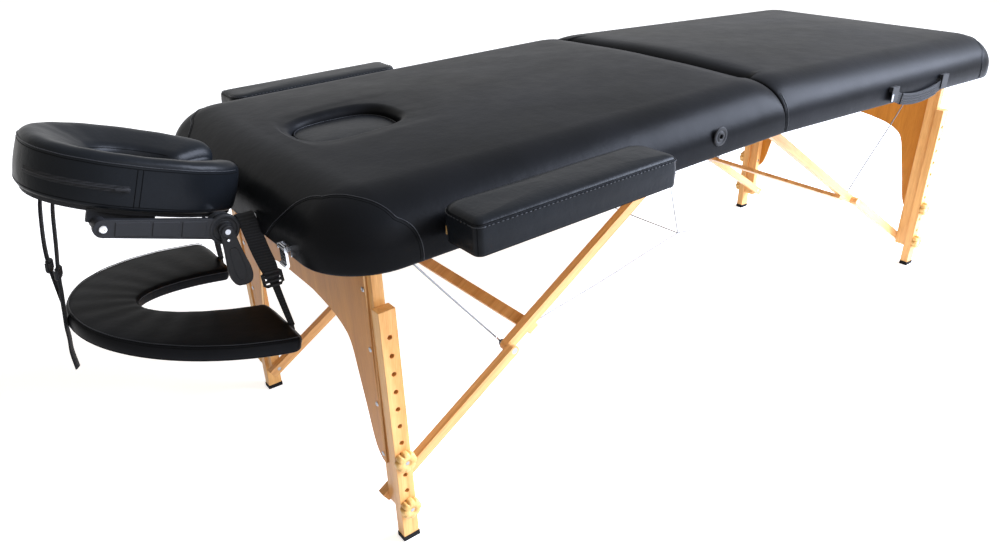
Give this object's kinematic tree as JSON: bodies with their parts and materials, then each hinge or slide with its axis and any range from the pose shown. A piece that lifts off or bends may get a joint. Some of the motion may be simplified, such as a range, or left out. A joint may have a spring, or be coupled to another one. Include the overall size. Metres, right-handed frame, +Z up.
{
  "type": "folding massage table",
  "caption": "Two-section folding massage table on wooden legs, with a head rest, a hanging arm shelf and lift-off armrests.",
  "frame": {"origin": "on the floor, under the middle of the whole object's box", "axes": "+X to the foot end, -Y to the front side seen in the picture, +Z up"},
  "size_m": [2.1167, 0.8786, 0.6964],
  "materials": {
    "cover": "black synthetic leather, satin",
    "beech": "clear satin varnish",
    "ply": "stained plywood, satin varnish",
    "board": "plain plywood",
    "steel": "zinc plated",
    "black_plastic": "moulded black",
    "webbing": "woven webbing",
    "rubber": "black rubber"
  },
  "bodies": {
    "table_head": {"head_frame": "board", "head_deck": "board", "head_cushion": "cover", "head_hinge_leaves": "steel", "head_leg_bolts": "steel", "head_brace_brackets": "steel", "side_grommets": "black_plastic", "latch_plates": "steel", "support_cables": "steel"},
    "hinge_pins": {"centre_hinge_pins": "steel"},
    "foot_half": {"foot_frame": "board", "foot_deck": "board", "foot_cushion": "cover", "foot_hinge_leaves": "steel", "foot_leg_bolts": "steel", "foot_brace_brackets": "steel", "latch_strikes": "steel", "handle_strap": "webbing", "handle_fittings": "black_plastic"},
    "latch_hook_front": {"latch_hook_front": "steel"},
    "latch_hook_rear": {"latch_hook_rear": "steel"},
    "armrest_front": {"armrest_front_base": "steel", "armrest_front_pad": "cover"},
    "armrest_rear": {"armrest_rear_base": "steel", "armrest_rear_pad": "cover"},
    "face_plug": {"face_plug": "cover"},
    "head_rest_slide": {"cradle_base": "steel", "arm_shelf": "cover", "shelf_straps": "webbing", "strap_buckles": "black_plastic"},
    "head_rest_arms": {"cradle_arms": "black_plastic"},
    "head_rest_lever": {"cradle_cam_lever": "black_plastic"},
    "head_rest_platform": {"cradle_platform": "black_plastic", "cradle_pad": "cover"},
    "head_leg": {"head_panel": "ply", "head_leg_frame": "beech"},
    "head_upper_brace": {"head_upper_braces": "beech"},
    "head_lower_brace": {"head_lower_braces": "beech", "head_elbow_bolts": "steel"},
    "head_extension_front": {"head_extension_front": "beech", "head_cap_front": "rubber"},
    "head_knob_front_upper": {"head_knob_front_upper": "beech"},
    "head_knob_front_lower": {"head_knob_front_lower": "beech"},
    "head_extension_rear": {"head_extension_rear": "beech", "head_cap_rear": "rubber"},
    "head_knob_rear_upper": {"head_knob_rear_upper": "beech"},
    "head_knob_rear_lower": {"head_knob_rear_lower": "beech"},
    "foot_leg": {"foot_panel": "ply", "foot_leg_frame": "beech"},
    "foot_upper_brace": {"foot_upper_braces": "beech"},
    "foot_lower_brace": {"foot_lower_braces": "beech", "foot_elbow_bolts": "steel"},
    "foot_extension_front": {"foot_extension_front": "beech", "foot_cap_front": "rubber"},
    "foot_knob_front_upper": {"foot_knob_front_upper": "beech"},
    "foot_knob_front_lower": {"foot_knob_front_lower": "beech"},
    "foot_extension_rear": {"foot_extension_rear": "beech", "foot_cap_rear": "rubber"},
    "foot_knob_rear_upper": {"foot_knob_rear_upper": "beech"},
    "foot_knob_rear_lower": {"foot_knob_rear_lower": "beech"}
  },
  "joints": [
    {"name": "final_close", "type": "hinge", "parent": "table_head", "child": "hinge_pins", "pos_m": [0.1321, 0, 0.548], "axis": [0, 1, 0], "range_deg": [0, 42.1]},
    {"name": "centre_fold", "type": "hinge", "parent": "hinge_pins", "child": "foot_half", "pos_m": [0.1321, 0, 0.548], "axis": [0, 1, 0], "range_deg": [0, 135], "deforming": ["support_cables"]},
    {"name": "head_leg_fold", "type": "hinge", "parent": "table_head", "child": "head_leg", "pos_m": [-0.69229, 0, 0.55329], "axis": [0, -1, 0], "range_deg": [0, 90]},
    {"name": "head_upper_brace_fold", "type": "hinge", "parent": "table_head", "child": "head_upper_brace", "pos_m": [0.08177, 0, 0.56074], "axis": [0, 1, 0], "range_deg": [0, 34.13]},
    {"name": "head_lower_brace_fold", "type": "hinge", "parent": "head_leg", "child": "head_lower_brace", "pos_m": [-0.68013, 0, 0.06944], "axis": [0, -1, 0], "range_deg": [0, 55.53]},
    {"name": "head_front_leg_length", "type": "slide", "parent": "head_leg", "child": "head_extension_front", "axis": [0.0251, 0, -0.9997], "range_m": [0, 0.192]},
    {"name": "head_knob_front_upper_turn", "type": "hinge", "parent": "head_leg", "child": "head_knob_front_upper", "pos_m": [-0.68254, -0.29, 0.16541], "axis": [0, -1, 0], "continuous": true},
    {"name": "head_knob_front_lower_turn", "type": "hinge", "parent": "head_leg", "child": "head_knob_front_lower", "pos_m": [-0.68013, -0.29, 0.06944], "axis": [0, -1, 0], "continuous": true},
    {"name": "head_rear_leg_length", "type": "slide", "parent": "head_leg", "child": "head_extension_rear", "axis": [0.0251, 0, -0.9997], "range_m": [0, 0.192]},
    {"name": "head_knob_rear_upper_turn", "type": "hinge", "parent": "head_leg", "child": "head_knob_rear_upper", "pos_m": [-0.68254, 0.29, 0.16541], "axis": [0, 1, 0], "continuous": true},
    {"name": "head_knob_rear_lower_turn", "type": "hinge", "parent": "head_leg", "child": "head_knob_rear_lower", "pos_m": [-0.68013, 0.29, 0.06944], "axis": [0, 1, 0], "continuous": true},
    {"name": "foot_leg_fold", "type": "hinge", "parent": "foot_half", "child": "foot_leg", "pos_m": [0.9565, 0, 0.55329], "axis": [0, 1, 0], "range_deg": [0, 90]},
    {"name": "foot_upper_brace_fold", "type": "hinge", "parent": "foot_half", "child": "foot_upper_brace", "pos_m": [0.18244, 0, 0.56074], "axis": [0, -1, 0], "range_deg": [0, 34.13]},
    {"name": "foot_lower_brace_fold", "type": "hinge", "parent": "foot_leg", "child": "foot_lower_brace", "pos_m": [0.94433, 0, 0.06944], "axis": [0, 1, 0], "range_deg": [0, 55.53]},
    {"name": "foot_front_leg_length", "type": "slide", "parent": "foot_leg", "child": "foot_extension_front", "axis": [-0.0251, 0, -0.9997], "range_m": [0, 0.192]},
    {"name": "foot_knob_front_upper_turn", "type": "hinge", "parent": "foot_leg", "child": "foot_knob_front_upper", "pos_m": [0.94675, -0.29, 0.16541], "axis": [0, -1, 0], "continuous": true},
    {"name": "foot_knob_front_lower_turn", "type": "hinge", "parent": "foot_leg", "child": "foot_knob_front_lower", "pos_m": [0.94433, -0.29, 0.06944], "axis": [0, -1, 0], "continuous": true},
    {"name": "foot_rear_leg_length", "type": "slide", "parent": "foot_leg", "child": "foot_extension_rear", "axis": [-0.0251, 0, -0.9997], "range_m": [0, 0.192]},
    {"name": "foot_knob_rear_upper_turn", "type": "hinge", "parent": "foot_leg", "child": "foot_knob_rear_upper", "pos_m": [0.94675, 0.29, 0.16541], "axis": [0, 1, 0], "continuous": true},
    {"name": "foot_knob_rear_lower_turn", "type": "hinge", "parent": "foot_leg", "child": "foot_knob_rear_lower", "pos_m": [0.94433, 0.29, 0.06944], "axis": [0, 1, 0], "continuous": true},
    {"name": "head_rest_insert", "type": "slide", "parent": "table_head", "child": "head_rest_slide", "axis": [-0.9997, 0, -0.0251], "range_m": [0, 0.08]},
    {"name": "head_rest_height", "type": "hinge", "parent": "head_rest_slide", "child": "head_rest_arms", "pos_m": [-0.84215, 0, 0.54602], "axis": [0, 1, 0], "range_deg": [-20, 0], "deforming": ["shelf_straps"]},
    {"name": "head_rest_tilt", "type": "hinge", "parent": "head_rest_arms", "child": "head_rest_platform", "pos_m": [-0.99225, 0, 0.58776], "axis": [0, 1, 0], "range_deg": [-30, 0]},
    {"name": "head_rest_lever_turn", "type": "hinge", "parent": "head_rest_slide", "child": "head_rest_lever", "pos_m": [-0.84215, 0, 0.54602], "axis": [0, 1, 0], "range_deg": [0, 100]},
    {"name": "latch_front_turn", "type": "hinge", "parent": "table_head", "child": "latch_hook_front", "pos_m": [-0.79899, -0.214, 0.5401], "axis": [0, 1, 0], "range_deg": [0, 110]},
    {"name": "latch_rear_turn", "type": "hinge", "parent": "table_head", "child": "latch_hook_rear", "pos_m": [-0.79899, 0.214, 0.5401], "axis": [0, 1, 0], "range_deg": [0, 110]},
    {"name": "armrest_front_insert", "type": "slide", "parent": "table_head", "child": "armrest_front", "axis": [0, -1, 0], "range_m": [0, 0.06]},
    {"name": "armrest_rear_insert", "type": "slide", "parent": "table_head", "child": "armrest_rear", "axis": [0, 1, 0], "range_m": [0, 0.06]},
    {"name": "face_plug_lift", "type": "slide", "parent": "table_head", "child": "face_plug", "axis": [-0.0251, 0, 0.9997], "range_m": [0, 0.12]}
  ],
  "couplings": [
    {"joint": "head_leg_fold", "follows": "centre_fold", "ratio": 0.6666},
    {"joint": "head_upper_brace_fold", "follows": "centre_fold", "ratio": 0.25278},
    {"joint": "head_lower_brace_fold", "follows": "centre_fold", "ratio": 0.41124},
    {"joint": "foot_leg_fold", "follows": "centre_fold", "ratio": 0.6666},
    {"joint": "foot_upper_brace_fold", "follows": "centre_fold", "ratio": 0.25278},
    {"joint": "foot_lower_brace_fold", "follows": "centre_fold", "ratio": 0.41124}
  ]
}
